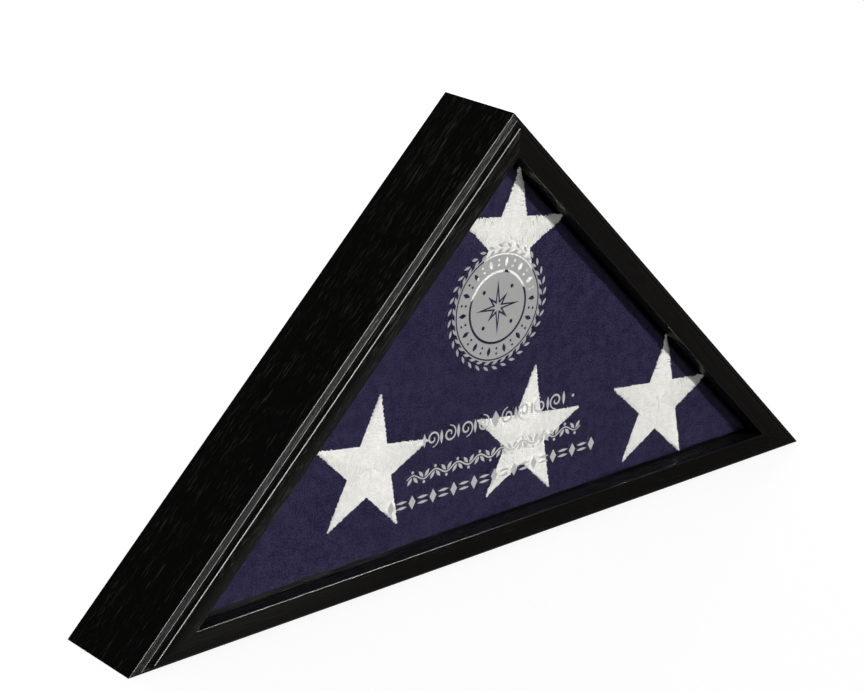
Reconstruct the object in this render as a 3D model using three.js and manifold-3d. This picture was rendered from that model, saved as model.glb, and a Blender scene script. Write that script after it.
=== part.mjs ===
// Folded flag display case: a mitred shadow-box frame in the shape of a right-angled isosceles
// triangle, standing on its long side. Glass sits behind the front lip, the folded flag fills
// the box, and a lined back panel drops into a rear rabbet under turn-buttons. The buttons lie
// inside an outer lip, so that nothing stands behind the rear edge of the rails.
//
// Millimetres, +Z up. The front faces -Y, the base rail lies along X.
// While the parts are built, y = 0 is the front edge of the outer side faces; the finished
// group is then shifted so that the origin is at the middle of its footprint.

import * as THREE from "three";
import { mergeVertices } from "three/addons/utils/BufferGeometryUtils.js";
import Module from "manifold-3d";

// ---- Driving dimensions -------------------------------------------------------------------

const OUTER_WIDTH = 635; // outer length of the base
const SIDE_DEPTH = 70.2; // flat outer face of every rail, front edge to rear edge
const FACE_FORWARD = 6.6; // how far the front flat stands forward of that front edge
const FACE_WIDTH = 20.5; // outer face to sight edge
const CHAMFER = 3.4; // 45 degree chamfer along the outer front edge
const QUIRK_FLOOR = 3; // how far the floor of the quirk stands forward of the front edge
const STEP_INSET = 6.3; // outer face to the step up to the front flat
const ARRIS = 0.7; // eased edges
const WALL = 14.3; // rail thickness behind the glass
const LIP_BACK = 5.6; // y of the ledge that the glass rests on
const RIM_WIDTH = 3; // outer lip that the turn-buttons sit inside of, at the rear
const LEDGE_DEPTH = 4.6; // rear edge of that lip to the ledge that the turn-buttons turn on
const LEDGE_INSET = 11.6; // outer face to the inner edge of the ledge
const RABBET_DEPTH = 5.4; // ledge to the shoulder that the back panel rests on

const GAP = 0.3; // clearance between touching pieces
const GLASS_THICKNESS = 2.5;
const STRIP_WIDTH = 4.4;
const STRIP_DEPTH = 6;
const PANEL_THICKNESS = 4.8;
const LINING_THICKNESS = 1.2;
const FLAG_BEVEL = 5;

const BUTTON_LENGTH = 24;
const BUTTON_WIDTH = 8;
const BUTTON_THICKNESS = 1.5;
const SHANK_RADIUS = 1.6;
const SHANK_LENGTH = 14;
const HEAD_RADIUS = 3.4;
const HEAD_HEIGHT = 1.9;

const V_NAIL_REACH = 3.5; // each leg, measured along and across the mitre
const V_NAIL_SHEET = 0.7;
const V_NAIL_DEPTH = 10;

// ---- The triangle -------------------------------------------------------------------------

const Y_AXIS = new THREE.Vector3(0, 1, 0);
const HALF = OUTER_WIDTH / 2;
const REAR = SIDE_DEPTH;
const LEDGE = REAR - LEDGE_DEPTH;
const SHOULDER = LEDGE - RABBET_DEPTH;

const LEFT = { point: new THREE.Vector3(-HALF, 0, 0), halfAngle: Math.PI / 8 };
const APEX = { point: new THREE.Vector3(0, 0, HALF), halfAngle: Math.PI / 4 };
const RIGHT = { point: new THREE.Vector3(HALF, 0, 0), halfAngle: Math.PI / 8 };

// Each leg runs so that (inward, +Y, along) is a right-handed frame.
function makeLeg(name, from, to) {
  const along = to.point.clone().sub(from.point);
  const length = along.length();
  along.normalize();
  const inward = along.clone().cross(Y_AXIS).negate();
  return { name, from, to, along, inward, length };
}

const LEGS = [
  makeLeg("left", LEFT, APEX),
  makeLeg("right", APEX, RIGHT),
  makeLeg("base", RIGHT, LEFT),
];

// A point on a leg: distance along it, inset from its outer face, and depth y.
function pointOnLeg(leg, distance, inset, y) {
  return leg.from.point
    .clone()
    .addScaledVector(leg.along, distance)
    .addScaledVector(leg.inward, inset)
    .setY(y);
}

// The triangle that lies a given inset inside the outer one, as a shape in the XZ plane.
function triangleShape(inset) {
  const cornerX = HALF - inset / Math.tan(LEFT.halfAngle);
  const apexZ = HALF - inset * Math.SQRT2;
  const shape = new THREE.Shape();
  shape.moveTo(-cornerX, inset);
  shape.lineTo(cornerX, inset);
  shape.lineTo(0, apexZ);
  shape.closePath();
  return shape;
}

// ---- Solid helpers ------------------------------------------------------------------------

const wasm = await Module();
wasm.setup();

function toManifold(geometry) {
  const bare = geometry.clone();
  bare.deleteAttribute("normal");
  bare.deleteAttribute("uv");
  const merged = mergeVertices(bare, 1e-4);
  const mesh = new wasm.Mesh({
    numProp: 3,
    vertProperties: new Float32Array(merged.attributes.position.array),
    triVerts: new Uint32Array(merged.index.array),
  });
  return new wasm.Manifold(mesh);
}

function toGeometry(solid) {
  const mesh = solid.getMesh();
  const indexed = new THREE.BufferGeometry();
  indexed.setAttribute("position", new THREE.BufferAttribute(mesh.vertProperties, 3));
  indexed.setIndex(new THREE.BufferAttribute(mesh.triVerts, 1));
  const geometry = indexed.toNonIndexed();
  geometry.computeVertexNormals();
  return geometry;
}

function cut(geometry, tools) {
  let solid = toManifold(geometry);
  for (const tool of tools) {
    solid = solid.subtract(toManifold(tool));
  }
  return toGeometry(solid);
}

// A flat piece: a shape in the XZ plane, from y = front to y = front + thickness.
function plate(shape, front, thickness, curveSegments = 8) {
  const geometry = new THREE.ExtrudeGeometry(shape, {
    depth: thickness,
    bevelEnabled: false,
    curveSegments,
  });
  geometry.rotateX(Math.PI / 2);
  geometry.translate(0, front + thickness, 0);
  return geometry;
}

// A strip with mitred ends: the section is a shape in (inset, y), extruded one unit and then
// stretched so that each of its edges ends on the mitre planes, short of them by half a gap.
function mitredStrip(leg, section) {
  const geometry = new THREE.ExtrudeGeometry(section, {
    depth: 1,
    bevelEnabled: false,
    curveSegments: 5,
  });
  const position = geometry.attributes.position;
  const endFrom = GAP / 2 / Math.sin(leg.from.halfAngle);
  const endTo = GAP / 2 / Math.sin(leg.to.halfAngle);
  for (let i = 0; i < position.count; i++) {
    const inset = position.getX(i);
    const depth = position.getY(i);
    const start = inset / Math.tan(leg.from.halfAngle) + endFrom;
    const end = leg.length - inset / Math.tan(leg.to.halfAngle) - endTo;
    const distance = position.getZ(i) > 0.5 ? end : start;
    const place = pointOnLeg(leg, distance, inset, depth);
    position.setXYZ(i, place.x, place.y, place.z);
  }
  geometry.computeVertexNormals();
  return geometry;
}

// ---- Materials ----------------------------------------------------------------------------

function material(color, roughness, metalness = 0) {
  return new THREE.MeshStandardMaterial({ color, roughness, metalness });
}

const stainedWood = () => material("#14130f", 0.45);
const rawBlackWood = () => material("#191817", 0.8);
const clearGlass = () =>
  new THREE.MeshStandardMaterial({
    color: "#e6efec",
    roughness: 0.05,
    metalness: 0,
    transparent: true,
    opacity: 0.2,
  });
const navyCloth = () => material("#2b2548", 0.95);
const blackFelt = () => material("#101012", 1);
const zincSteel = () => material("#b9bcbd", 0.35, 0.9);

// ---- Sub-parts ----------------------------------------------------------------------------

const group = new THREE.Group();

function addPart(name, geometry, look) {
  const mesh = new THREE.Mesh(geometry, look);
  mesh.name = name;
  group.add(mesh);
  return mesh;
}

// Rail section. From the rear it follows the side face forward, then the moulded front edge
// (a chamfer, a quirk and a step), the front flat, the lip, the wall and the two rear steps.
function railSection() {
  const front = -FACE_FORWARD;
  const section = new THREE.Shape();
  section.moveTo(0, REAR - ARRIS);
  section.lineTo(0, ARRIS / 2);
  section.quadraticCurveTo(0, 0, ARRIS / 2, -ARRIS / 2);
  section.lineTo(CHAMFER - ARRIS / 2, -CHAMFER + ARRIS / 2);
  section.quadraticCurveTo(CHAMFER, -CHAMFER, CHAMFER + ARRIS / 2, -CHAMFER + ARRIS / 4);
  section.lineTo(CHAMFER + ARRIS, -QUIRK_FLOOR);
  section.lineTo(STEP_INSET, -QUIRK_FLOOR);
  section.lineTo(STEP_INSET, front + ARRIS);
  section.quadraticCurveTo(STEP_INSET, front, STEP_INSET + ARRIS, front);
  section.lineTo(FACE_WIDTH - ARRIS, front);
  section.quadraticCurveTo(FACE_WIDTH, front, FACE_WIDTH, front + ARRIS);
  section.lineTo(FACE_WIDTH, LIP_BACK);
  section.lineTo(WALL, LIP_BACK);
  section.lineTo(WALL, SHOULDER);
  section.lineTo(LEDGE_INSET, SHOULDER);
  section.lineTo(LEDGE_INSET, LEDGE);
  section.lineTo(RIM_WIDTH, LEDGE);
  section.lineTo(RIM_WIDTH, REAR);
  section.lineTo(ARRIS, REAR);
  section.closePath();
  return section;
}

function rectangleSection(insetFrom, insetTo, yFrom, yTo) {
  const section = new THREE.Shape();
  section.moveTo(insetFrom, yFrom);
  section.lineTo(insetTo, yFrom);
  section.lineTo(insetTo, yTo);
  section.lineTo(insetFrom, yTo);
  section.closePath();
  return section;
}

// Turn-buttons sit on the rear ledge, two on each short leg and three on the base.
// The last value is the direction that a parked button points in, along its leg.
const BUTTON_PLACES = [
  { leg: LEGS[0], at: 0.3, points: 1 },
  { leg: LEGS[0], at: 0.72, points: 1 },
  { leg: LEGS[1], at: 0.28, points: -1 },
  { leg: LEGS[1], at: 0.7, points: -1 },
  { leg: LEGS[2], at: 0.2, points: 1 },
  { leg: LEGS[2], at: 0.5, points: 1 },
  { leg: LEGS[2], at: 0.8, points: -1 },
];

function buttonPivot(place) {
  const inset = RIM_WIDTH + GAP + BUTTON_WIDTH / 2;
  return pointOnLeg(place.leg, place.leg.length * place.at, inset, LEDGE);
}

function pilotHole(place) {
  const depth = SHANK_LENGTH;
  const hole = new THREE.CylinderGeometry(SHANK_RADIUS + GAP, SHANK_RADIUS + GAP, depth * 2, 14);
  const pivot = buttonPivot(place);
  hole.translate(pivot.x, pivot.y, pivot.z);
  return hole;
}

// Corner fasteners: V-shaped steel nails pressed into the mitres from the rear. Each place
// gives the corner and the distance of the V's point from it along the mitre.
const V_NAIL_PLACES = [
  { name: "left_1", corner: LEFT, distance: 14, turn: Math.PI / 8 },
  { name: "left_2", corner: LEFT, distance: 21, turn: Math.PI / 8 },
  { name: "right_1", corner: RIGHT, distance: 14, turn: (Math.PI * 7) / 8 },
  { name: "right_2", corner: RIGHT, distance: 21, turn: (Math.PI * 7) / 8 },
  { name: "apex", corner: APEX, distance: 7.5, turn: -Math.PI / 2 },
];

function vNailGeometry(place, clearance, extraDepth) {
  const reach = V_NAIL_REACH + clearance;
  const sheet = (V_NAIL_SHEET + clearance * 2) * Math.SQRT2;
  const point = -clearance * Math.SQRT2;
  const shape = new THREE.Shape();
  shape.moveTo(point, 0);
  shape.lineTo(reach, -reach + point);
  shape.lineTo(reach, -reach + point + sheet);
  shape.lineTo(point + sheet, 0);
  shape.lineTo(reach, reach - point - sheet);
  shape.lineTo(reach, reach - point);
  shape.closePath();
  const front = LEDGE - GAP - V_NAIL_DEPTH - clearance;
  const geometry = plate(shape, front, V_NAIL_DEPTH + clearance + extraDepth);
  geometry.rotateY(-place.turn);
  const offset = new THREE.Vector3(place.distance, 0, 0).applyAxisAngle(Y_AXIS, -place.turn);
  geometry.translate(place.corner.point.x + offset.x, 0, place.corner.point.z + offset.z);
  return geometry;
}

function addRails() {
  const pockets = V_NAIL_PLACES.map((place) => vNailGeometry(place, GAP, GAP * 4));
  for (const leg of LEGS) {
    const holes = BUTTON_PLACES.filter((place) => place.leg === leg).map(pilotHole);
    const blank = mitredStrip(leg, railSection());
    addPart(`${leg.name}_rail`, cut(blank, [...holes, ...pockets]), stainedWood());
  }
}

function addVNails() {
  for (const place of V_NAIL_PLACES) {
    addPart(`v_nail_${place.name}`, vNailGeometry(place, 0, 0), zincSteel());
  }
}

function addGlazing() {
  const glassFront = LIP_BACK + GAP;
  const glass = plate(triangleShape(WALL + GAP), glassFront, GLASS_THICKNESS);
  addPart("glass_pane", glass, clearGlass());
  const stripFront = glassFront + GLASS_THICKNESS + GAP;
  const inset = WALL + GAP;
  const section = rectangleSection(inset, inset + STRIP_WIDTH, stripFront, stripFront + STRIP_DEPTH);
  for (const leg of LEGS) {
    addPart(`${leg.name}_glazing_strip`, mitredStrip(leg, section), rawBlackWood());
  }
}

const PANEL_FRONT = SHOULDER + GAP;
const LINING_FRONT = PANEL_FRONT - GAP - LINING_THICKNESS;

function addBack() {
  const panel = plate(triangleShape(LEDGE_INSET + GAP), PANEL_FRONT, PANEL_THICKNESS);
  addPart("back_panel", panel, rawBlackWood());
  const lining = plate(triangleShape(WALL + GAP * 2), LINING_FRONT, LINING_THICKNESS);
  addPart("felt_lining", lining, blackFelt());
}

// The folded flag: a soft three-cornered bundle between the glass and the lining.
function addFlag() {
  const front = LIP_BACK + GLASS_THICKNESS + GAP * 3;
  const back = LINING_FRONT - GAP * 2;
  const edge = WALL + STRIP_WIDTH + GAP * 3;
  const bundle = new THREE.ExtrudeGeometry(triangleShape(edge + FLAG_BEVEL), {
    depth: back - front - FLAG_BEVEL * 2,
    bevelEnabled: true,
    bevelThickness: FLAG_BEVEL,
    bevelSize: FLAG_BEVEL,
    bevelSegments: 3,
  });
  bundle.rotateX(Math.PI / 2);
  bundle.translate(0, back - FLAG_BEVEL, 0);
  addPart("folded_flag", bundle, navyCloth());
}

// A flat plate with round ends, turning on a screw near one end. Local x is its length.
function turnButtonGeometry() {
  const radius = BUTTON_WIDTH / 2;
  const reach = BUTTON_LENGTH - BUTTON_WIDTH;
  const shape = new THREE.Shape();
  shape.absarc(0, 0, radius, Math.PI / 2, (Math.PI * 3) / 2);
  shape.absarc(reach, 0, radius, -Math.PI / 2, Math.PI / 2);
  shape.closePath();
  const hole = new THREE.Path();
  hole.absarc(0, 0, SHANK_RADIUS + GAP, 0, Math.PI * 2, true);
  shape.holes.push(hole);
  return plate(shape, LEDGE + GAP, BUTTON_THICKNESS, 10);
}

// A pan-head screw with a cross recess, its axis along Y and its head at the rear.
function screwGeometry() {
  const seat = LEDGE + BUTTON_THICKNESS + GAP * 2;
  const tip = seat - SHANK_LENGTH;
  const profile = [
    new THREE.Vector2(0, tip),
    new THREE.Vector2(SHANK_RADIUS, tip + SHANK_RADIUS * 1.6),
    new THREE.Vector2(SHANK_RADIUS, seat),
    new THREE.Vector2(HEAD_RADIUS, seat),
    new THREE.Vector2(HEAD_RADIUS, seat + HEAD_HEIGHT * 0.5),
    new THREE.Vector2(HEAD_RADIUS * 0.8, seat + HEAD_HEIGHT * 0.87),
    new THREE.Vector2(HEAD_RADIUS * 0.45, seat + HEAD_HEIGHT),
    new THREE.Vector2(0, seat + HEAD_HEIGHT),
  ];
  const body = new THREE.LatheGeometry(profile, 16);
  const slotLength = HEAD_RADIUS * 1.1;
  const slotWidth = HEAD_RADIUS * 0.26;
  const slots = [0, Math.PI / 2].map((turn) => {
    const slot = new THREE.BoxGeometry(slotLength, HEAD_HEIGHT, slotWidth);
    slot.rotateY(turn);
    slot.translate(0, seat + HEAD_HEIGHT, 0);
    return slot;
  });
  return cut(body, slots);
}

function addTurnButtons() {
  BUTTON_PLACES.forEach((place, index) => {
    const pivot = buttonPivot(place);
    const parked = place.leg.along.clone().multiplyScalar(place.points);
    const button = addPart(`turn_button_${index + 1}`, turnButtonGeometry(), zincSteel());
    button.position.set(pivot.x, 0, pivot.z);
    button.rotation.y = -Math.atan2(parked.z, parked.x);
    const screw = addPart(`button_screw_${index + 1}`, screwGeometry(), zincSteel());
    screw.position.set(pivot.x, 0, pivot.z);
    screw.rotation.y = button.rotation.y;
  });
}

addRails();
addVNails();
addGlazing();
addFlag();
addBack();
addTurnButtons();

// Put the origin at the middle of the footprint, on the surface that the case stands on.
group.updateMatrixWorld(true);
const extent = new THREE.Box3().setFromObject(group, true);
group.position.y = -(extent.min.y + extent.max.y) / 2;

export default group;
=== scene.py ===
"""Looks of the folded flag display case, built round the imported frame.

The case is a mitred triangular frame of black stained ash. A folded flag with embroidered
stars sits behind engraved glass, and a lined panel closes the back, inside a ledge on which
the turn-buttons are parked.
Metres, the row's own frame: +X along the base rail, -Y to the front, +Z up.
"""

import math
import random

import bmesh
import bpy
from mathutils import Matrix, Vector
from mathutils.bvhtree import BVHTree


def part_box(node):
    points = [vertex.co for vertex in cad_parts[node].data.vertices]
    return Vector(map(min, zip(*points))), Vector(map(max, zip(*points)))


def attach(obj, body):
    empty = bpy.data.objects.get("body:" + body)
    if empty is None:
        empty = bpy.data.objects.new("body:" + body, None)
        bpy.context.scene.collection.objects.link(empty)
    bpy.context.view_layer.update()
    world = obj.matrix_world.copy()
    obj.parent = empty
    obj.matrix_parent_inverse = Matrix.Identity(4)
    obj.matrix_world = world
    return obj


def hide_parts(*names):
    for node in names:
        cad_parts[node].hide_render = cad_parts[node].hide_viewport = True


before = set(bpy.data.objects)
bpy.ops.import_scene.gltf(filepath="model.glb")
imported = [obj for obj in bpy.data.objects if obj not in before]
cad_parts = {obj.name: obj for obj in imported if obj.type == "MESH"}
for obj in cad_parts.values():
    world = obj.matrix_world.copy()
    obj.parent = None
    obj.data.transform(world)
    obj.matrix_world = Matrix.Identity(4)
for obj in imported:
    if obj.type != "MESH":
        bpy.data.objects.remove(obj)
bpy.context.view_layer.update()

MM = 0.001

# ---- Driving dimensions, as in the CAD ------------------------------------------------------

OUTER_WIDTH = 635 * MM
HALF = OUTER_WIDTH / 2
SIDE_DEPTH = 70.2 * MM
FACE_FORWARD = 6.6 * MM
FACE_WIDTH = 20.5 * MM
WALL = 14.3 * MM
LIP_BACK = 5.6 * MM
RIM_WIDTH = 3 * MM
LEDGE_DEPTH = 4.6 * MM
LEDGE_INSET = 11.6 * MM
RABBET_DEPTH = 5.4 * MM
CHAMFER = 3.4 * MM
QUIRK_FLOOR = 3 * MM
STEP_INSET = 6.3 * MM

# y of the front edge of the outer side faces.
EDGE_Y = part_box("base_rail")[0].y + FACE_FORWARD

# What some lamps are kept to, so that a rail's highlights fall on that rail only.
rail_groups = {side: bpy.data.collections.new(f"{side}_group") for side in ("left", "right", "base")}
hardware = bpy.data.collections.new("hardware")
cloth = bpy.data.collections.new("cloth")

LEFT_CORNER = Vector((-HALF, 0, 0))
APEX = Vector((0, 0, HALF))
RIGHT_CORNER = Vector((HALF, 0, 0))
CORNER_HALF_ANGLE = {"base": math.radians(22.5), "apex": math.radians(45)}


# ---- Small helpers --------------------------------------------------------------------------

def collect(name, mesh):
    """A new object for a mesh, linked to the scene."""
    piece = bpy.data.objects.new(name, mesh)
    bpy.context.scene.collection.objects.link(piece)
    return piece


def mesh_piece(name, vertices, faces, smooth_angle=None):
    """An object from vertices and faces, smooth shaded below smooth_angle degrees."""
    mesh = bpy.data.meshes.new(name)
    mesh.from_pydata([tuple(v) for v in vertices], [], faces)
    if smooth_angle is not None:
        mesh.shade_smooth()
        mesh.set_sharp_from_angle(angle=math.radians(smooth_angle))
    mesh.update()
    return collect(name, mesh)


def copied(mesh, name, matrix):
    """A new object whose mesh is a moved copy of another mesh."""
    mesh = mesh.copy()
    mesh.transform(matrix)
    return collect(name, mesh)


def finish_piece(piece, body, material, slot_name, *nodes):
    """Gives a piece its material and its body, and hides the CAD nodes that it stands for.
    slot_name is not used.
    """
    piece.data.materials.clear()
    piece.data.materials.append(material)
    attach(piece, body)
    if nodes:
        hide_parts(*nodes)


# ---- The three sides of the triangle --------------------------------------------------------

class Leg:
    """One side of the triangle. Inward, +Y and along form a right-handed frame."""

    def __init__(self, name, start, end, start_corner, end_corner):
        self.name = name
        self.start = start
        self.along = (end - start).normalized()
        self.length = (end - start).length
        self.inward = -self.along.cross(Vector((0, 1, 0)))
        self.start_run = 1 / math.tan(CORNER_HALF_ANGLE[start_corner])
        self.end_run = 1 / math.tan(CORNER_HALF_ANGLE[end_corner])
        self.turn = -math.atan2(self.along.z, self.along.x)

    def point(self, distance, inset, depth):
        """Distance along the leg, inset from its outer face, depth behind the front edge."""
        place = self.start + self.along * distance + self.inward * inset
        place.y = EDGE_Y + depth
        return place


LEGS = [
    Leg("left", LEFT_CORNER, APEX, "base", "apex"),
    Leg("right", APEX, RIGHT_CORNER, "apex", "base"),
    Leg("base", RIGHT_CORNER, LEFT_CORNER, "base", "base"),
]


# ---- Camera ---------------------------------------------------------------------------------

def add_camera():
    """The viewing angle of the reference view: from the front left and above. The place is in
    base lengths from the middle of the case's front edge, at floor level."""
    data = bpy.data.cameras.new("camera")
    data.sensor_width = 36
    data.lens = 103.2
    camera = bpy.data.objects.new("camera", data)
    bpy.context.scene.collection.objects.link(camera)
    camera.location = Vector((-1.7262, -1.8405, 1.1679)) * OUTER_WIDTH + Vector((0, EDGE_Y, 0))
    aim = Vector((0.61956, 0.70463, -0.34588))
    roll = Matrix.Rotation(math.radians(1.236), 4, "Z")
    camera.rotation_euler = (aim.to_track_quat("-Z", "Y").to_matrix().to_4x4() @ roll).to_euler()
    bpy.context.scene.camera = camera


# ---- Node helpers ---------------------------------------------------------------------------

class Nodes:
    """A material under construction: adds nodes and links them in one call."""

    def __init__(self, name):
        self.material = bpy.data.materials.new(name)
        self.material.use_nodes = True
        self.tree = self.material.node_tree
        self.tree.nodes.clear()
        self.output = self.tree.nodes.new("ShaderNodeOutputMaterial")

    def add(self, kind, settings=None, **inputs):
        node = self.tree.nodes.new("ShaderNode" + kind)
        for key, value in (settings or {}).items():
            setattr(node, key, value)
        for key, value in inputs.items():
            self.put(node, key.replace("_", " "), value)
        return node

    def put(self, node, socket, value):
        target = node.inputs[socket]
        if isinstance(value, bpy.types.NodeSocket):
            self.tree.links.new(value, target)
        else:
            target.default_value = value

    def math(self, operation, first, second=0.0, clamp=False):
        node = self.add("Math", {"operation": operation, "use_clamp": clamp})
        self.put(node, 0, first)
        self.put(node, 1, second)
        return node.outputs[0]

    def ramp(self, factor, low, high, dark=0.0, light=1.0):
        node = self.add("MapRange")
        self.put(node, "Value", factor)
        limits = {"From Min": low, "From Max": high, "To Min": dark, "To Max": light}
        for socket, value in limits.items():
            self.put(node, socket, value)
        return node.outputs[0]

    def mix(self, factor, first, second):
        node = self.add("Mix", {"data_type": "RGBA"})
        self.put(node, 0, factor)
        self.put(node, 6, first)
        self.put(node, 7, second)
        return node.outputs[2]

    def place(self, size, turn=0.0, source=None):
        """A point, turned about Y and divided by a feature size along each axis."""
        source = source or self.add("TexCoord").outputs["Object"]
        node = self.add("Mapping", {"vector_type": "TEXTURE"}, Vector=source)
        node.inputs["Rotation"].default_value = (0, turn, 0)
        node.inputs["Scale"].default_value = size
        return node.outputs[0]

    def wander(self, source, length, reach):
        """A point that drifts sideways by up to about reach as X changes by length."""
        drift = self.noise((length, length * 0.2, length * 0.2), 1, 0.5, source=source)
        sideways = self.math("MULTIPLY", self.math("SUBTRACT", drift, 0.5), reach * 4)
        shift = self.add("CombineXYZ", Y=sideways, Z=sideways)
        node = self.add("VectorMath", {"operation": "ADD"})
        self.put(node, 0, source)
        self.put(node, 1, shift.outputs[0])
        return node.outputs[0]

    def noise(self, size, detail=2.0, roughness=0.5, turn=0.0, distortion=0.0, source=None):
        place = self.place(size, turn, source)
        node = self.add("TexNoise", Vector=place, Scale=1.0, Detail=detail)
        node.inputs["Roughness"].default_value = roughness
        node.inputs["Distortion"].default_value = distortion
        return node.outputs[0]

    def bump(self, height, distance, strength=1.0):
        node = self.add("Bump", Height=height, Distance=distance, Strength=strength)
        return node.outputs[0]

    def finish(self, shader):
        self.tree.links.new(shader, self.output.inputs["Surface"])
        return self.material

    def principled(self, **inputs):
        return self.finish(self.add("BsdfPrincipled", **inputs).outputs[0])


# ---- Materials ------------------------------------------------------------------------------

def stained_ash(name, turn, stain, pore_and_glint, roughness, gather=0.0):
    """Black stained open-grain ash. turn lays the grain along the piece. Pores are short,
    fine dashes that keep to the growth rings; gather makes them denser towards its far end.
    Their paler colour is partly the grain's own filler and partly a painted highlight of pore
    edges catching the light."""
    n = Nodes(name)
    board = n.place((1, 1, 1), turn)
    grain = n.wander(board, 0.16, 0.004)
    rings = n.noise((0.5, 0.008, 0.008), 3, 0.6, source=grain)
    porous = n.ramp(rings, 0.42, 0.60)
    dashes = n.noise((0.015, 0.0008, 0.0008), 1, 0.5, source=grain)
    faint = n.noise((0.008, 0.0006, 0.0006), 1, 0.5, source=grain)
    fibre = n.ramp(n.noise((0.12, 0.0009, 0.0009), 2, 0.6, source=grain), 0.35, 0.68)
    along = n.add("SeparateXYZ", Vector=board).outputs[0]
    gathered = n.ramp(along, -0.2, 0.2, 0.0, gather)
    threshold = n.math("SUBTRACT", 0.72, n.math("MULTIPLY", porous, 0.08))
    threshold = n.math("SUBTRACT", threshold, gathered)
    open_pore = n.math("MULTIPLY", n.math("SUBTRACT", dashes, threshold), 14.0, True)
    fine_pore = n.math("MULTIPLY", n.math("SUBTRACT", faint, threshold), 10.0, True)
    pores_and_glints = n.math("MAXIMUM", open_pore, n.math("MULTIPLY", fine_pore, 0.5))
    tone = n.mix(fibre, (*[c * 0.8 for c in stain], 1), (*[c * 1.2 for c in stain], 1))
    # Pores paler than the stain: partly the grain's filler, partly painted highlight of pore edges
    # catching light.
    colour = n.mix(pores_and_glints, tone, (*pore_and_glint, 1))
    gloss = n.ramp(fibre, 0.0, 1.0, roughness + 0.08, roughness - 0.05)
    height = n.math("SUBTRACT", n.math("MULTIPLY", fibre, 0.35), pores_and_glints)
    shader = n.add("BsdfPrincipled", Base_Color=colour, Roughness=gloss, IOR=1.47)
    n.put(shader, "Specular IOR Level", 0.25)
    n.put(shader, "Normal", n.bump(height, 0.00010, 0.5))
    return n.finish(shader.outputs[0])


def worn_and_highlit_arris(name, turn, stain):
    """The same stain on the eased edges, rubbed smooth, with long dull breaks. Where the
    noise is high the edges are paler: partly wear, partly a painted highlight that draws the
    bright edge lines.
    """
    n = Nodes(name)
    wear_and_highlight = n.noise((0.06, 0.006, 0.006), 3, 0.6, turn)
    # Paler edges: partly wear, partly painted highlight for the bright edge lines.
    colour = n.mix(wear_and_highlight, (*stain, 1), (*[c * 2.2 for c in stain], 1))
    gloss = n.ramp(wear_and_highlight, 0.35, 0.70, 0.20, 0.27)
    shader = n.add("BsdfPrincipled", Base_Color=colour, Roughness=gloss, IOR=1.8)
    n.put(shader, "Specular IOR Level", 0.7)
    return n.finish(shader.outputs[0])


def clear_glass():
    """Float glass that lets lamp light through to the flag."""
    n = Nodes("clear_glass")
    smear = n.noise((0.05, 0.05, 0.02), 3, 0.6)
    glass = n.add("BsdfPrincipled", Base_Color=(0.98, 0.985, 0.98, 1), IOR=1.45)
    n.put(glass, "Transmission Weight", 1.0)
    n.put(glass, "Roughness", n.ramp(smear, 0.4, 0.7, 0.0, 0.012))
    clear = n.add("BsdfTransparent", Color=(0.97, 0.97, 0.965, 1))
    lamp = n.add("LightPath").outputs["Is Shadow Ray"]
    mix = n.add("MixShader")
    n.put(mix, 0, lamp)
    n.put(mix, 1, glass.outputs[0])
    n.put(mix, 2, clear.outputs[0])
    return n.finish(mix.outputs[0])


def frosted_engraving(name, white, cover):
    """Frosted glass. Fine lines are cut deeper, so they are whiter and cover more."""
    n = Nodes(name)
    grain = n.noise((0.0006, 0.0006, 0.0006), 2, 0.6)
    bright = (white, white, white * 0.985)
    dull = [c * 0.78 for c in bright]
    colour = n.mix(grain, (*dull, 1), (*bright, 1))
    shader = n.add("BsdfPrincipled", Base_Color=colour, Roughness=0.85, Alpha=cover)
    n.put(shader, "Normal", n.bump(grain, 0.0001, 0.4))
    return n.finish(shader.outputs[0])


def flag_cotton():
    """Navy cotton bunting: a plain weave with slubs and soft wear."""
    n = Nodes("flag_cotton")
    warp = n.noise((0.0004, 0.02, 0.012), 1, 0.5, math.radians(4))
    weft = n.noise((0.012, 0.02, 0.0004), 1, 0.5, math.radians(4))
    weave = n.math("MULTIPLY", n.math("ADD", warp, weft), 0.5)
    mottle = n.noise((0.006, 0.006, 0.006), 4, 0.65)
    lint = n.noise((0.0011, 0.0011, 0.0011), 2, 0.6)
    value = n.math("ADD", n.math("MULTIPLY", weave, 0.3), n.math("MULTIPLY", mottle, 0.3))
    value = n.math("ADD", value, n.math("MULTIPLY", lint, 0.6))
    shade = n.ramp(value, 0.54, 0.67)
    colour = n.mix(shade, (0.011, 0.009, 0.029, 1), (0.036, 0.030, 0.075, 1))
    shader = n.add("BsdfPrincipled", Base_Color=colour, Roughness=0.92)
    n.put(shader, "Specular IOR Level", 0.08)
    n.put(shader, "Normal", n.bump(weave, 0.00015, 0.6))
    return n.finish(shader.outputs[0])


def star_thread():
    """White embroidery thread, a little soiled."""
    n = Nodes("star_thread")
    soil = n.noise((0.004, 0.004, 0.004), 3, 0.6)
    ply = n.noise((0.0005, 0.0005, 0.0005), 2, 0.6)
    value = n.math("ADD", n.math("MULTIPLY", soil, 0.25), n.math("MULTIPLY", ply, 0.75))
    colour = n.mix(n.ramp(value, 0.38, 0.60), (0.66, 0.645, 0.61, 1), (0.98, 0.965, 0.935, 1))
    shader = n.add("BsdfPrincipled", Base_Color=colour, Roughness=0.6)
    n.put(shader, "Sheen Weight", 0.08)
    n.put(shader, "Specular IOR Level", 0.15)
    n.put(shader, "Normal", n.bump(ply, 0.0001, 0.5))
    return n.finish(shader.outputs[0])


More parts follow.
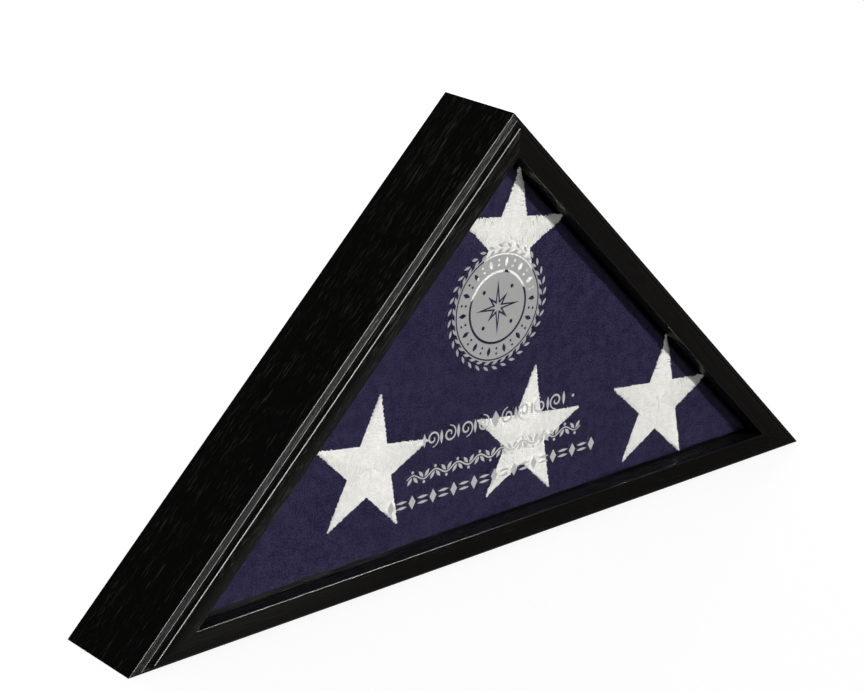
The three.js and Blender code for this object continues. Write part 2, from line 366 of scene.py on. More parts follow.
def black_felt():
    """Thin black felt, fuzzy and slightly uneven."""
    n = Nodes("black_felt")
    fuzz = n.noise((0.0012, 0.0012, 0.0012), 4, 0.7)
    patch = n.noise((0.03, 0.03, 0.03), 2, 0.5)
    colour = n.mix(fuzz, (0.006, 0.006, 0.007, 1), (0.022, 0.022, 0.025, 1))
    colour = n.mix(n.math("MULTIPLY", patch, 0.4), colour, (0.012, 0.012, 0.014, 1))
    shader = n.add("BsdfPrincipled", Base_Color=colour, Roughness=0.95)
    n.put(shader, "Sheen Weight", 0.35)
    n.put(shader, "Sheen Roughness", 0.6)
    n.put(shader, "Normal", n.bump(fuzz, 0.0006, 0.7))
    return n.finish(shader.outputs[0])


def panel_board():
    """Black hardboard: pressed fibres under a matt coat."""
    n = Nodes("panel_board")
    fibres = n.noise((0.0035, 0.0035, 0.0012), 4, 0.7, math.radians(30), 1.5)
    cloud = n.noise((0.08, 0.08, 0.08), 3, 0.6)
    value = n.math("ADD", n.math("MULTIPLY", fibres, 0.6), n.math("MULTIPLY", cloud, 0.4))
    colour = n.mix(n.ramp(value, 0.35, 0.65), (0.011, 0.0108, 0.0105, 1), (0.027, 0.026, 0.025, 1))
    gloss = n.ramp(fibres, 0.3, 0.7, 0.5, 0.72)
    normal = n.bump(fibres, 0.0003, 0.35)
    return n.principled(Base_Color=colour, Roughness=gloss, Normal=normal)


def zinc_steel():
    """Zinc plated steel with a faint spangle."""
    n = Nodes("zinc_steel")
    spangle = n.noise((0.0035, 0.0035, 0.0035), 3, 0.6)
    drawn = n.noise((0.0002, 0.004, 0.004), 2, 0.6)
    colour = n.mix(spangle, (0.46, 0.47, 0.48, 1), (0.66, 0.67, 0.67, 1))
    gloss = n.ramp(n.math("ADD", spangle, n.math("MULTIPLY", drawn, 0.5)), 0.4, 1.1, 0.24, 0.46)
    normal = n.bump(drawn, 0.00003, 0.4)
    return n.principled(Base_Color=colour, Metallic=1.0, Roughness=gloss, Normal=normal)


def pale_floor():
    """Pale studio paper, bright enough to leave only a faint shadow."""
    n = Nodes("pale_floor")
    paper = n.noise((0.02, 0.02, 0.02), 3, 0.5)
    colour = n.mix(paper, (0.25, 0.25, 0.25, 1), (0.27, 0.27, 0.27, 1))
    shader = n.add("BsdfPrincipled", Base_Color=colour, Roughness=0.9)
    n.put(shader, "Specular IOR Level", 0.0)
    n.put(shader, "Emission Color", (1, 1, 1, 1))
    n.put(shader, "Emission Strength", 0.92)
    return n.finish(shader.outputs[0])


# ---- Stage and light ------------------------------------------------------------------------

def add_stage():
    """A wide pale floor just under the case, which the case doesn't mirror."""
    reach = 6.0
    level = -0.2 * MM
    signs = ((-1, -1), (1, -1), (1, 1), (-1, 1))
    corners = [Vector((x * reach, y * reach, level)) for x, y in signs]
    floor = mesh_piece("floor", corners, [(0, 1, 2, 3)])
    floor.data.materials.append(pale_floor())
    floor.visible_diffuse = False
    floor.visible_glossy = False
    floor.visible_transmission = False


def add_lamp(name, kind, toward, distance, energy):
    """A lamp that looks at the middle of the case. toward points from the case to the lamp."""
    data = bpy.data.lights.new(name, kind)
    data.energy = energy
    lamp = bpy.data.objects.new(name, data)
    bpy.context.scene.collection.objects.link(lamp)
    direction = Vector(toward).normalized()
    lamp.location = Vector((0, 0, 0.14)) + direction * distance
    lamp.rotation_euler = direction.to_track_quat("Z", "Y").to_euler()
    return lamp


def add_key():
    """A small distant key from the front right. It leaves the floor to the soft light, and
    nothing mirrors it."""
    key = add_lamp("key", "SUN", (0.386, -0.857, 0.343), 3, 1.02)
    key.data.angle = math.radians(1.2)
    key.visible_glossy = False
    spared = bpy.data.collections.new("spared_by_key")
    spared.objects.link(bpy.data.objects["floor"])
    key.light_linking.receiver_collection = spared
    spared.collection_objects[0].light_linking.link_state = "EXCLUDE"


def add_softbox(name, toward, distance, size, power, receivers=None):
    lamp = add_lamp(name, "AREA", toward, distance, power)
    lamp.data.shape = "SQUARE"
    lamp.data.size = size
    lamp.visible_camera = False
    if receivers:
        lamp.light_linking.receiver_collection = receivers
    return lamp


def add_strip(name, side, angle, shift, distance, length, width, power):
    """A strip of light parallel to a rail, for highlights on that rail only. At angle 0 it
    lies straight out from the rail's outer face, and at 90 degrees straight in front of it.
    shift moves it along the rail from the rail's middle."""
    leg = next(leg for leg in LEGS if leg.name == side)
    front = Vector((0, -1, 0))
    away = -leg.inward * math.cos(math.radians(angle)) + front * math.sin(math.radians(angle))
    lamp = add_softbox(name, away, distance, length, power, rail_groups[side])
    lamp.data.shape = "RECTANGLE"
    lamp.data.size_y = width
    lamp.location = leg.point(leg.length / 2 + shift, 0, 0) + away * distance
    axes = Matrix((leg.along, away.cross(leg.along), away)).transposed()
    lamp.rotation_euler = axes.to_euler()
    lamp.visible_diffuse = False
    lamp.visible_transmission = False


def add_light():
    add_key()
    add_softbox("cloth_fill", (-0.5, -0.85, 0.03), 1.8, 0.9, 12, cloth)
    add_strip("left_arris_strip", "left", 18, 0.26, 1.6, 1.0, 0.50, 20)
    add_strip("left_chamfer_strip", "left", 50, 0.26, 1.6, 1.0, 0.10, 3)
    add_strip("left_face_strip", "left", 71, 0.26, 1.6, 1.0, 0.64, 15)
    add_strip("left_flat_strip", "left", 134, 0.1, 1.6, 1.0, 0.30, 0.8)
    add_strip("base_sight_strip", "base", 147, -0.02, 0.5, 0.34, 0.08, 4)
    add_strip("base_face_strip", "base", 58, -0.05, 0.5, 0.3, 0.2, 0.06)
    add_softbox("back_right", (0.85, 0.50, 0.20), 1.8, 0.6, 8).visible_glossy = False
    add_softbox("back_fill", (0.2, 1.0, 0.35), 1.8, 0.8, 8).visible_glossy = False
    add_softbox("back_gleam", (0.3, 0.8, 0.6), 1.8, 0.6, 12, hardware)
    add_world()


def add_world():
    """White to the eye and soft grey as light, with little of it mirrored in the black wood."""
    world = bpy.data.worlds.new("studio")
    world.use_nodes = True
    tree = world.node_tree
    tree.nodes.clear()
    background = tree.nodes.new("ShaderNodeBackground")
    path = tree.nodes.new("ShaderNodeLightPath")
    output = tree.nodes.new("ShaderNodeOutputWorld")
    soft = 0.24
    mirrored = 0.024
    strength = None
    for ray, seen in (("Is Camera Ray", 1.0), ("Is Glossy Ray", mirrored)):
        step = tree.nodes.new("ShaderNodeMath")
        step.operation = "MULTIPLY_ADD"
        tree.links.new(path.outputs[ray], step.inputs[0])
        step.inputs[1].default_value = seen - soft
        step.inputs[2].default_value = soft
        if strength is not None:
            tree.links.new(strength, step.inputs[2])
        strength = step.outputs[0]
    background.inputs["Color"].default_value = (1, 1, 1, 1)
    tree.links.new(strength, background.inputs["Strength"])
    tree.links.new(background.outputs[0], output.inputs["Surface"])
    bpy.context.scene.world = world
    bpy.context.scene.view_settings.view_transform = "Standard"


# ---- Mitred frame ---------------------------------------------------------------------------

def rounded_outline(corners, steps=4):
    """A closed outline from (x, y, radius) corners, each corner rounded by an arc."""
    outline = []
    count = len(corners)
    for index, (x, y, radius) in enumerate(corners):
        here = Vector((x, y))
        if radius == 0:
            outline.append(here)
            continue
        before = Vector(corners[index - 1][:2]) - here
        after = Vector(corners[(index + 1) % count][:2]) - here
        before.normalize()
        after.normalize()
        half = before.angle(after) / 2
        centre = here + (before + after).normalized() * (radius / math.sin(half))
        reach = radius / math.tan(half)
        first = here + before * reach - centre
        last = here + after * reach - centre
        for step in range(steps + 1):
            share = step / steps
            spoke = first.lerp(last, share).normalized() * radius
            outline.append(centre + spoke)
    return outline


def rail_outline():
    front = -FACE_FORWARD
    ledge = SIDE_DEPTH - LEDGE_DEPTH
    shoulder = ledge - RABBET_DEPTH
    arris = 0.7 * MM
    return rounded_outline([
        (0, SIDE_DEPTH, arris),
        (0, 0, arris),
        (CHAMFER, -CHAMFER, 0.45 * MM),
        (CHAMFER + 0.5 * MM, -QUIRK_FLOOR, 0),
        (STEP_INSET, -QUIRK_FLOOR, 0),
        (STEP_INSET, front, arris),
        (FACE_WIDTH, front, arris),
        (FACE_WIDTH, LIP_BACK, 0.3 * MM),
        (WALL, LIP_BACK, 0),
        (WALL, shoulder, 0.3 * MM),
        (LEDGE_INSET, shoulder, 0),
        (LEDGE_INSET, ledge, 0.3 * MM),
        (RIM_WIDTH, ledge, 0),
        (RIM_WIDTH, SIDE_DEPTH, 0.3 * MM),
    ])


# The faces that round an edge are narrower than this. So is what the rounding leaves of the
# chamfer's short inner wall, which takes their paler material, partly wear and partly painted
# highlight. All other flat faces are wider.
ARRIS_STEP = 0.4 * MM


def mitred_piece(name, leg, outline, gap=0.03 * MM, smooth_angle=50):
    """Sweeps an outline of (inset, depth) along a leg, from one mitre plane to the other."""
    count = len(outline)
    vertices = [leg.point(p.x * leg.start_run + gap, p.x, p.y) for p in outline]
    vertices += [leg.point(leg.length - p.x * leg.end_run - gap, p.x, p.y) for p in outline]
    faces = []
    for index in range(count):
        after = (index + 1) % count
        faces.append((index, after, count + after, count + index))
    faces.append(tuple(reversed(range(count))))
    faces.append(tuple(range(count, 2 * count)))
    piece = mesh_piece(name, vertices, faces)
    turn_faces_out(piece.data)
    piece.data.shade_smooth()
    piece.data.set_sharp_from_angle(angle=math.radians(smooth_angle))
    return piece


def apply_arris_wear_and_highlight(rail, outline, material):
    """Gives the rounded edges of a swept piece their own material."""
    rail.data.materials.append(material)
    count = len(outline)
    for index, face in enumerate(rail.data.polygons[:count]):
        span = outline[(index + 1) % count] - outline[index]
        face.material_index = 1 if span.length < ARRIS_STEP else 0


def add_rails():
    """The three rails. The left one shows the most open grain, the right one the least; the
    paleness of their pores is partly painted highlight. Each rail's stain is the left rail's
    made paler by the factor listed for it."""
    outline = rail_outline()
    black = (0.0064, 0.0059, 0.0050)
    # How many times paler than the left rail's stain each rail's stain is.
    paleness = {"left": 1.0, "right": 2.1, "base": 1.5}
    # Pore colours per rail: partly the grain's filler, partly painted highlight, strongest on the left
    # rail.
    pores_and_glints = {
        "left": (0.075, 0.071, 0.066),
        "right": (0.011, 0.010, 0.009),
        "base": (0.028, 0.025, 0.021),
    }
    gather = {"left": 0.05, "right": 0.0, "base": 0.0}
    for leg in LEGS:
        stain = tuple(c * paleness[leg.name] for c in black)
        wood = stained_ash(f"stained_ash_{leg.name}", leg.turn, stain, pores_and_glints[leg.name],
                           0.26, gather[leg.name])
        rail = mitred_piece(f"{leg.name}_rail_ash", leg, outline)
        rail_groups[leg.name].objects.link(rail)
        finish_piece(rail, "case", wood, "stained_wood", f"{leg.name}_rail")
        # The eased edges get a paler stain: partly wear, partly painted highlight.
        apply_arris_wear_and_highlight(rail, outline, worn_and_highlit_arris(f"rubbed_arris_{leg.name}", leg.turn, stain))


# ---- Glass ----------------------------------------------------------------------------------

def add_glass():
    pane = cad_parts["glass_pane"]
    pane.data.materials.clear()
    pane.data.materials.append(clear_glass())


# ---- Flag -----------------------------------------------------------------------------------

FLAG_FRONT = 9.7 * MM
FLAG_BACK = 58.2 * MM
STRIP_BACK = 15 * MM
STRIP_INSET = 19.4 * MM


def triangle_corners(inset):
    reach = HALF - inset / math.tan(CORNER_HALF_ANGLE["base"])
    return [Vector((-reach, inset)), Vector((reach, inset)), Vector((0, HALF - inset * math.sqrt(2)))]


def inset_at(x, z):
    """Distance from the nearest outer face, for a point inside the triangle."""
    left = (HALF + x - z) / math.sqrt(2)
    right = (HALF - x - z) / math.sqrt(2)
    return min(z, left, right)


def bundle_cage():
    """A closed three-cornered pad, a little smaller than the space that the flag fills."""
    shrink = 2 * MM
    edge = STRIP_INSET + shrink * 0.2
    front = FLAG_FRONT + shrink * 0.2
    section = rounded_outline([
        (0, front, 0),
        (edge, front, 2 * MM),
        (edge, FLAG_BACK - shrink, 12 * MM),
        (0, FLAG_BACK - shrink, 0),
    ], 5)[1:-1]
    section = [Vector((2 * edge - point.x, point.y)) for point in section]
    vertices = []
    faces = []
    per_side = 50
    ring = per_side * 3
    for point in section:
        corners = triangle_corners(point.x)
        for side in range(3):
            for step in range(per_side):
                place = corners[side].lerp(corners[(side + 1) % 3], step / per_side)
                vertices.append((place.x, EDGE_Y + point.y, place.y))
    for loop in range(len(section) - 1):
        for index in range(ring):
            after = (index + 1) % ring
            base = loop * ring
            faces.append((base + index, base + after, base + ring + after, base + ring + index))
    faces.append(tuple(range(ring)))
    faces.append(tuple(reversed(range((len(section) - 1) * ring, len(section) * ring))))
    cage = mesh_piece("folded_flag_cloth", vertices, faces)
    turn_faces_out(cage.data)
    return cage


def turn_faces_out(mesh):
    shell = bmesh.new()
    shell.from_mesh(mesh)
    bmesh.ops.recalc_face_normals(shell, faces=shell.faces)
    shell.to_mesh(mesh)
    shell.free()


def applied(piece):
    """Replaces a piece's mesh by what its modifiers make of it, and drops the modifiers."""
    graph = bpy.context.evaluated_depsgraph_get()
    mesh = bpy.data.meshes.new_from_object(piece.evaluated_get(graph))
    piece.modifiers.clear()
    piece.data = mesh


def inflate(piece):
    """Cloth under pressure, which puckers the edges as stuffed fabric does."""
    stuffed = piece.modifiers.new("cloth", "CLOTH")
    settings = stuffed.settings
    settings.quality = 6
    settings.mass = 0.3
    settings.tension_stiffness = 12
    settings.compression_stiffness = 12
    settings.bending_stiffness = 0.4
    settings.use_pressure = True
    settings.uniform_pressure_force = 4
    settings.effector_weights.gravity = 0
    last_frame = 20
    stuffed.point_cache.frame_start = 1
    stuffed.point_cache.frame_end = last_frame
    scene = bpy.context.scene
    for number in range(1, last_frame + 1):
        scene.frame_set(number)
    applied(piece)
    scene.frame_set(1)


def crease(x, z):
    """How far the front of the flag falls back along the fold beside the left rail."""
    inset = (HALF + x - z) / math.sqrt(2)
    share = min(max((31 * MM - inset) / (4 * MM), 0), 1)
    return 0.6 * MM * share * share * (3 - 2 * share)


def press_into_case(mesh, rest):
    """Keeps the cloth near its rest shape, most of all where the glass holds it flat, and
    inside glass, strips and lining."""
    for vertex, home in zip(mesh.vertices, rest):
        behind_glass = home.y - EDGE_Y - FLAG_FRONT
        most = min(1.0 * MM + behind_glass * 0.5, 7 * MM)
        shift = vertex.co - home
        if shift.length > most:
            shift = shift.normalized() * most
        place = home + shift
        front = EDGE_Y + FLAG_FRONT + crease(place.x, place.z)
        place.y = min(max(place.y, front), EDGE_Y + FLAG_BACK)
        room = STRIP_INSET if place.y - EDGE_Y < STRIP_BACK else WALL + 0.6 * MM
        lack = room - inset_at(place.x, place.z)
        if lack > 0:
            middle = Vector((0, place.y, 0.1))
            place += (middle - place).normalized() * lack * 1.6
        vertex.co = place


def press_on_glass(mesh):
    """Flattens the cloth against the glass right up to its edges, where it turns sharply."""
    reach = 6 * MM
    sharpness = 2.2
    middle = Vector((0, 0, 0.13))
    for vertex in mesh.vertices:
        x, y, z = vertex.co
        front = EDGE_Y + FLAG_FRONT + crease(x, z)
        depth = y - front
        if depth >= reach:
            continue
        vertex.co.y = front + reach * (max(depth, 0) / reach) ** sharpness
        edge = inset_at(x, z) - STRIP_INSET
        if 0 < edge < reach:
            gain = edge - reach * (edge / reach) ** sharpness
            outward = Vector((x, 0, z)) - middle
            vertex.co += outward.normalized() * gain * 0.8


def add_flag():
    """The folded flag: a soft three-cornered bundle, pressed flat against the glass."""
    piece = bundle_cage()
    remesh = piece.modifiers.new("remesh", "REMESH")
    remesh.mode = "VOXEL"
    remesh.voxel_size = 5 * MM
    applied(piece)
    rest = [vertex.co.copy() for vertex in piece.data.vertices]
    inflate(piece)
    press_into_case(piece.data, rest)
    finer = piece.modifiers.new("finer", "SUBSURF")
    finer.levels = 1
    finer.render_levels = 1
    applied(piece)
    press_on_glass(piece.data)
    piece.data.shade_smooth()
    cloth.objects.link(piece)
    finish_piece(piece, "case", flag_cotton(), "flag_cotton", "folded_flag")
    return piece


# ---- Embroidered stars ----------------------------------------------------------------------

STAR_RADIUS = 53 * MM
STITCH_PITCH = 0.95 * MM
# Where the notches between a star's arms lie, along an arm and towards a notch.
NOTCH_ALONG_ARM = 0.309
NOTCH_RADIUS = 0.382
# Name, x and z of the centre, and turn in degrees.
STAR_PLACES = [
    ("star_left", -113.9 * MM, 87.5 * MM, 9.0),
    ("star_middle", 28.9 * MM, 75.6 * MM, 8.0),
    ("star_right", 164 * MM, 68 * MM, 6.5),
    ("star_top", 8.5 * MM, 225.0 * MM, 8.5),
]


def arm_width(distance):
    """Half width of a five-pointed star's arm at a distance from the centre."""
    notch = STAR_RADIUS * NOTCH_ALONG_ARM
    if distance < notch:
        return distance * math.tan(math.radians(36))
    return (STAR_RADIUS - distance) * math.tan(math.radians(18))


def add_star(name, centre_x, centre_z, turn, surface, material):
    """Satin stitches: each half of an arm is filled with threads from its ridge to its edge."""
    chance = random.Random(name)
    vertices = []
    faces = []
    along_steps = 5
    ridge_height = 0.75 * MM
    edge_height = 0.22 * MM
    thread = STITCH_PITCH * 0.62
    for arm in range(5):
        angle = math.radians(turn + arm * 72)
        ahead = Vector((math.sin(angle), 0, math.cos(angle)))
        for hand in (-1, 1):
            aside = Vector((math.cos(angle), 0, -math.sin(angle))) * hand
            count = int(STAR_RADIUS / STITCH_PITCH)
            for stitch in range(count):
                distance = (stitch + 0.5) * STITCH_PITCH
                width = arm_width(distance)
                if width < 0.25 * MM:
                    continue
                fray = chance.uniform(-0.6, 0.9) * MM
                lift = chance.uniform(-0.10, 0.10) * MM
                slant = chance.uniform(0.04, 0.15)
                first = len(vertices)
                for step in range(along_steps):
                    share = step / (along_steps - 1)
                    out = -0.5 * MM + (width + 0.5 * MM + fray) * share
                    place = ahead * (distance - out * slant) + aside * out
                    place.x += centre_x
                    place.z += centre_z
                    crown = math.sin(math.pi * min(1, 0.42 + share * 0.58))
                    height = edge_height + (ridge_height - edge_height) * crown + lift
                    base_y = surface(place.x, place.z)
                    for across, rise in ((-0.5, 0.0), (0.0, 0.5), (0.5, 0.0), (0.0, -0.5)):
                        corner = place + ahead * (across * thread * 1.9)
                        corner.y = base_y - height - rise * thread
                        vertices.append(corner)
                for step in range(along_steps - 1):
                    for side in range(4):
                        after = (side + 1) % 4
                        low = first + step * 4
                        faces.append((low + side, low + after, low + 4 + after, low + 4 + side))
                faces.append(tuple(first + side for side in (3, 2, 1, 0)))
                last = first + (along_steps - 1) * 4
                faces.append(tuple(last + side for side in range(4)))
    piece = mesh_piece(name, vertices, faces, 80)
    cloth.objects.link(piece)
    finish_piece(piece, "case", material, "flag_cotton")


def add_star_backing(name, centre_x, centre_z, turn, surface, material):
    """The closed patch that the stitches are sewn over."""
    vertices = []
    rim = []
    for tip in range(10):
        angle = math.radians(turn + tip * 36)
        radius = STAR_RADIUS * (0.985 if tip % 2 == 0 else NOTCH_RADIUS)
        rim.append((centre_x + radius * math.sin(angle), centre_z + radius * math.cos(angle)))
    for depth in (0.3 * MM, -0.1 * MM):
        for x, z in rim:
            vertices.append(Vector((x, surface(x, z) - depth, z)))
        vertices.append(Vector((centre_x, surface(centre_x, centre_z) - depth, centre_z)))
    faces = []
    for index in range(10):
        after = (index + 1) % 10
        faces.append((10, index, after))
        faces.append((21, 11 + after, 11 + index))
        faces.append((index, 11 + index, 11 + after, after))
    piece = mesh_piece(name, vertices, faces)
    cloth.objects.link(piece)
    finish_piece(piece, "case", material, "flag_cotton")


def add_stars(flag):
    """The four stars, sewn on the front of the flag where it lies against the glass."""
    thread = star_thread()
    bpy.context.view_layer.update()
    tree = BVHTree.FromObject(flag, bpy.context.evaluated_depsgraph_get())
    lowest = EDGE_Y + FLAG_FRONT + 1.2 * MM

    def surface(x, z):
        hit = tree.ray_cast(Vector((x, EDGE_Y - 0.1, z)), Vector((0, 1, 0)))
        return min(hit[0].y, lowest) if hit[0] else lowest

    for name, x, z, turn in STAR_PLACES:
        add_star(name, x, z, turn, surface, thread)
        add_star_backing(name + "_backing", x, z, turn, surface, thread)


# ---- Engraving ------------------------------------------------------------------------------
# Outlines are lists of (x, z) points in millimetres.

GLASS_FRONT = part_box("glass_pane")[0].y
ENGRAVING_DEPTH = 0.06
EMBLEM_CENTRE = (-4.2, 179.8)


def circle(x, z, radius, steps=40):
    turns = [math.tau * step / steps for step in range(steps)]
    return [(x + radius * math.cos(turn), z + radius * math.sin(turn)) for turn in turns]


def star_outline(x, z, radii, count, turn=0.0):
    """A star whose points take their radius from radii in turn."""
    outline = []
    for index in range(count):
        angle = math.tau * index / count + turn
        radius = radii[index % len(radii)]
        outline.append((x + radius * math.sin(angle), z + radius * math.cos(angle)))
    return outline


def leaf(x, z, angle, length, width, steps=7):
    """A pointed leaf from its stem at (x, z)."""
    sides = []
    for side, order in ((1, range(steps)), (-1, range(steps, 0, -1))):
        for step in order:
            share = step / steps
            across = side * width / 2 * math.sin(math.pi * share)
            ahead = share * length
            sides.append((x + ahead * math.cos(angle) - across * math.sin(angle),
                          z + ahead * math.sin(angle) + across * math.cos(angle)))
    return sides


def diamond(x, z, wide, high):
    return [(x - wide / 2, z), (x, z + high / 2), (x + wide / 2, z), (x, z - high / 2)]


def ribbon(path, width, taper=0.25):
    """A line of (x, z) points with a width, thinner at its two ends."""
    left = []
    right = []
    last = len(path) - 1
    for index, (x, z) in enumerate(path):
        before = path[max(index - 1, 0)]
        after = path[min(index + 1, last)]
        along = Vector((after[0] - before[0], after[1] - before[1])).normalized()
        swell = taper + (1 - taper) * math.sin(math.pi * min(max(index / last, 0.02), 0.98)) ** 0.5
        half = width / 2 * swell
        left.append((x - along.y * half, z + along.x * half))
        right.append((x + along.y * half, z - along.x * half))
    return left + right[::-1]


def scroll(x, z, hand, up, radius, turns=1.35, steps=30):
    """A curl that winds inwards to (x, z)."""
    path = []
    for step in range(steps + 1):
        share = step / steps
        angle = math.pi / 2 + share * turns * math.tau
        reach = radius * (1 - 0.82 * share)
        path.append((x + hand * reach * math.cos(angle), z + up * reach * math.sin(angle)))
    return path


def filled(outlines):
    """A flat plate of the first outline, with the others as holes in it, in millimetres."""
    curve = bpy.data.curves.new("outline", "CURVE")
    curve.dimensions = "2D"
    curve.fill_mode = "BOTH"
    curve.extrude = ENGRAVING_DEPTH / 2
    for outline in outlines:
        spline = curve.splines.new("POLY")
        spline.points.add(len(outline) - 1)
        spline.use_cyclic_u = True
        for point, (x, z) in zip(spline.points, outline):
            point.co = (x, z, 0, 1)
    piece = collect("outline", curve)
    bpy.context.view_layer.update()
    graph = bpy.context.evaluated_depsgraph_get()
    mesh = bpy.data.meshes.new_from_object(piece.evaluated_get(graph))
    bpy.data.objects.remove(piece)
    return mesh


def engrave(name, material, solid, *pierced):
    """Frosted shapes a few hundredths of a millimetre thick on the front of the glass.
    solid is a list of outlines. Each pierced shape is an outline followed by its holes."""
    shell = bmesh.new()
    for outlines in [[outline] for outline in solid] + list(pierced):
        plate = filled(outlines)
        shell.from_mesh(plate)
        bpy.data.meshes.remove(plate)
    bmesh.ops.remove_doubles(shell, verts=shell.verts, dist=0.002)
    bmesh.ops.recalc_face_normals(shell, faces=shell.faces)
    mesh = bpy.data.meshes.new(name)
    shell.to_mesh(mesh)
    shell.free()
    front = GLASS_FRONT - (ENGRAVING_DEPTH / 2 + 0.01) * MM
    mesh.transform(Matrix(((MM, 0, 0, 0), (0, 0, -MM, front), (0, MM, 0, 0), (0, 0, 0, 1))))
    piece = collect(name, mesh)
    piece.visible_shadow = False
    finish_piece(piece, "case", material, "clear_glass")


def around(centre, radius, angle):
    return centre[0] + radius * math.cos(angle), centre[1] + radius * math.sin(angle)


def add_emblem(material):
    """A round device: a wreath, a band of cut leaves and beads, and a compass star."""
    x, z = EMBLEM_CENTRE
    wreath = []
    pairs = 34
    for index in range(pairs):
        angle = math.tau * index / pairs
        for radius, lean in ((42.9, -0.42), (41.5, 0.42)):
            stem = around(EMBLEM_CENTRE, radius, angle)
            wreath.append(leaf(*stem, angle + math.pi / 2 + lean, 6.0, 2.1))
    ring = [circle(x, z, 39.3, 96), circle(x, z, 38.5, 96)]
    band = [circle(x, z, 37.4, 96), circle(x, z, 26.6, 96)]
    motifs = 28
    for index in range(motifs):
        angle = math.tau * index / motifs
        if index % 2:
            band.append(circle(*around(EMBLEM_CENTRE, 34.0, angle), 0.95, 12))
            band.append(circle(*around(EMBLEM_CENTRE, 30.2, angle), 0.95, 12))
        else:
            band.append(leaf(*around(EMBLEM_CENTRE, 28.7, angle), angle, 6.8, 3.2))
    disc = [circle(x, z, 24.8, 96), star_outline(x, z, (20.5, 5.0, 13.0, 5.0), 16)]
    for index in range(4):
        disc.append(circle(*around(EMBLEM_CENTRE, 18.2, math.tau * (index + 0.5) / 4), 1.5, 16))
    star = star_outline(x, z, (11.5, 2.4, 7.0, 2.4), 16)
    engrave("engraved_emblem", material, wreath + [star], ring, band, disc)


def scroll_row(x, z, half_length):
    """Curls and leaves on both sides of a middle diamond."""
    outlines = [diamond(x, z, 8, 13)]
    pitch = 15.5
    for hand in (-1, 1):
        for index in range(int((half_length - 6) / pitch)):
            place = x + hand * (11.5 + index * pitch)
            up = 1 if index % 2 == 0 else -1
            outlines.append(ribbon(scroll(place, z, hand, up, 6.3), 1.5))
            outlines.append(leaf(place + hand * 7.6, z - up * 5.6, math.pi / 2 * up, 10.5, 2.7))
        outlines.append(circle(x + hand * (half_length - 1.2), z, 1.2, 16))
    return outlines


def vine_row(x, z, half_length):
    """A waving stem with a leaf and a berry at each bend."""
    wave = 20.5
    steps = 120
    path = []
    for step in range(steps + 1):
        run = -half_length + 2 * half_length * step / steps
        path.append((x + run, z + 2.3 * math.sin(math.tau * run / wave)))
    outlines = [ribbon(path, 1.25, 0.5)]
    bends = int(2 * half_length / wave * 2)
    for index in range(bends):
        run = -half_length + wave / 4 + index * wave / 2
        up = 1 if math.sin(math.tau * (run + 0.1) / wave) > 0 else -1
        stem = z + 2.3 * math.sin(math.tau * run / wave)
        outlines.append(leaf(x + run + 0.6, stem - up * 1.3, -up * math.radians(52), 6.6, 2.6))
        outlines.append(leaf(x + run - 0.6, stem - up * 1.3, math.pi + up * math.radians(52), 6.6, 2.6))
        outlines.append(circle(x + run, stem + up * 2.3, 1.15, 14))
    return outlines


def diamond_row(x, z, half_length):
    """Diamonds with a pair of dashes between them."""
    outlines = []
    pitch = 19.0
    count = int(half_length / pitch)
    for index in range(-count, count + 1):
        place = x + index * pitch
        outlines.append(diamond(place, z, 6.2, 10.5))
        if index < count:
            outlines.append(leaf(place + 4.6, z + 2.0, 0, 9.8, 2.0))
            outlines.append(leaf(place + 4.6, z - 2.0, 0, 9.8, 2.0))
    return outlines


def add_engraving():
    """A round device above three rows of ornament."""
    add_emblem(frosted_engraving("frosted_field", 0.80, 0.85))
    frost = frosted_engraving("frosted_lines", 0.96, 0.95)
    engrave("engraved_scrolls", frost, scroll_row(-2.7, 96.5, 76))
    engrave("engraved_vine", frost, vine_row(-1.5, 71.3, 82))
    engrave("engraved_diamonds", frost, diamond_row(-2.5, 53.9, 98))


# ---- Strips, back panel, lining and hardware ------------------------------------------------

def ease_edges(piece, width):
    """Small round edges on a faceted solid."""
    weld = piece.modifiers.new("weld", "WELD")
    weld.merge_threshold = 0.01 * MM
    bevel = piece.modifiers.new("ease", "BEVEL")
    bevel.width = width
    bevel.segments = 3
    bevel.limit_method = "ANGLE"
    bevel.angle_limit = math.radians(40)
    bevel.use_clamp_overlap = True
    bevel.harden_normals = True


def dress(node, material, ease):
    """A better material for a CAD node, with its edges eased."""
    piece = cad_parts[node]
    piece.data.materials.clear()
    piece.data.materials.append(material)
    ease_edges(piece, ease)
    return piece


def add_back():
    """The strips behind the glass, and the lined panel that closes the back."""
    strip_wood = stained_ash("strip_ash", 0, (0.010, 0.0095, 0.009), (0.05, 0.047, 0.042), 0.6)
    for leg in LEGS:
        dress(f"{leg.name}_glazing_strip", strip_wood, 0.3 * MM)
    dress("back_panel", panel_board(), 0.5 * MM)
    dress("felt_lining", black_felt(), 0.3 * MM)


BUTTON_COUNT = 7
# In millimetres.
SCREW_HEAD_RADIUS = 3.4
SCREW_HEAD_HEIGHT = 1.9
SCREW_SHANK_RADIUS = 1.6
SCREW_LENGTH = 14
SCREW_PITCH = 1.3
THREAD_DEPTH = 0.42
SCREW_SIDES = 24


def screw_radius(height, turn):
    """Radius of the screw in millimetres at a height from the seat and a turn from 0 to 1."""
    if height > 0:
        share = min(height / SCREW_HEAD_HEIGHT, 1)
        return SCREW_HEAD_RADIUS * math.sqrt(max(1 - (share * 0.98) ** 3, 0))
    ridge = abs((height / SCREW_PITCH + turn) % 1 - 0.5) * 2
    core = SCREW_SHANK_RADIUS - THREAD_DEPTH * (1 - ridge)
    return core * min(1, (height + SCREW_LENGTH) / 3 + 0.05)


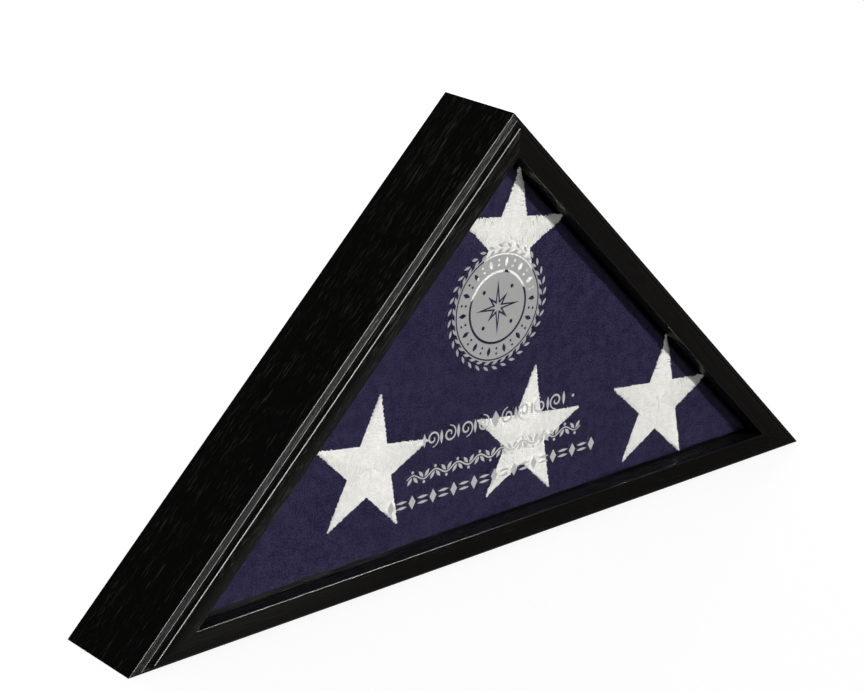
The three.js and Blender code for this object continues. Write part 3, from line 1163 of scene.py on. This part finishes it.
def screw_mesh():
    """A pan-head screw along +Y in metres, its seat at the origin, with a cross recess."""
    heights = [-SCREW_LENGTH + 0.2 * step for step in range(SCREW_LENGTH * 5)] + [-0.02]
    heights += [SCREW_HEAD_HEIGHT * (0.001 + 0.999 * step / 12) for step in range(13)]
    vertices = []
    for height in heights:
        for side in range(SCREW_SIDES):
            turn = side / SCREW_SIDES
            radius = screw_radius(height, turn) * MM
            angle = turn * math.tau
            vertices.append((radius * math.cos(angle), height * MM, radius * math.sin(angle)))
    faces = []
    for ring in range(len(heights) - 1):
        for side in range(SCREW_SIDES):
            here = ring * SCREW_SIDES + side
            after = ring * SCREW_SIDES + (side + 1) % SCREW_SIDES
            faces.append((here, after, after + SCREW_SIDES, here + SCREW_SIDES))
    faces.append(tuple(range(SCREW_SIDES)))
    top = (len(heights) - 1) * SCREW_SIDES
    faces.append(tuple(range(top + SCREW_SIDES - 1, top - 1, -1)))
    screw = mesh_piece("screw", vertices, faces)
    turn_faces_out(screw.data)
    recess = cross_cutter()
    cut = screw.modifiers.new("recess", "BOOLEAN")
    cut.operation = "DIFFERENCE"
    cut.solver = "EXACT"
    cut.object = recess
    applied(screw)
    mesh = screw.data
    mesh.shade_smooth()
    mesh.set_sharp_from_angle(angle=math.radians(45))
    for helper in (screw, recess):
        bpy.data.objects.remove(helper)
    return mesh


def cross_cutter():
    """A tapered cross-shaped prism that stands in the screw head."""
    long, short = 1.75, 0.42
    arm = [(short, short), (short, long), (-short, long)]
    outline = []
    for quarter in range(4):
        for x, z in arm:
            for _ in range(quarter):
                x, z = -z, x
            outline.append((x, z))
    vertices = []
    for height, scale in ((0.75, 0.6), (2.6, 1.15)):
        vertices += [(x * scale * MM, height * MM, z * scale * MM) for x, z in outline]
    count = len(outline)
    faces = [(i, (i + 1) % count, count + (i + 1) % count, count + i) for i in range(count)]
    faces.append(tuple(range(count)))
    faces.append(tuple(range(2 * count - 1, count - 1, -1)))
    cutter = mesh_piece("cross_cutter", vertices, faces)
    turn_faces_out(cutter.data)
    return cutter


def add_hardware():
    """Turn-buttons, their screws, and the V-nails that show as thin lines at the mitres."""
    steel = zinc_steel()
    screw = screw_mesh()
    chance = random.Random(7)
    for index in range(1, BUTTON_COUNT + 1):
        hardware.objects.link(dress(f"turn_button_{index}", steel, 0.35 * MM))
        node = f"button_screw_{index}"
        low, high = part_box(node)
        seat = Vector(((low.x + high.x) / 2, high.y - SCREW_HEAD_HEIGHT * MM, (low.z + high.z) / 2))
        turn = Matrix.Rotation(chance.uniform(0, math.tau), 4, "Y")
        piece = copied(screw, f"pan_head_screw_{index}", Matrix.Translation(seat) @ turn)
        hardware.objects.link(piece)
        finish_piece(piece, "case", steel, "zinc_steel", node)
    rearward = Matrix.Translation((0, 0.35 * MM, 0))
    for place in ("left_1", "left_2", "right_1", "right_2", "apex"):
        node = f"v_nail_{place}"
        driven = copied(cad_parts[node].data, f"driven_{node}", rearward)
        ease_edges(driven, 0.1 * MM)
        finish_piece(driven, "case", steel, "zinc_steel", node)


add_camera()
add_stage()
add_light()
add_rails()
add_glass()
add_engraving()
add_back()
add_hardware()
flag_piece = add_flag()
add_stars(flag_piece)
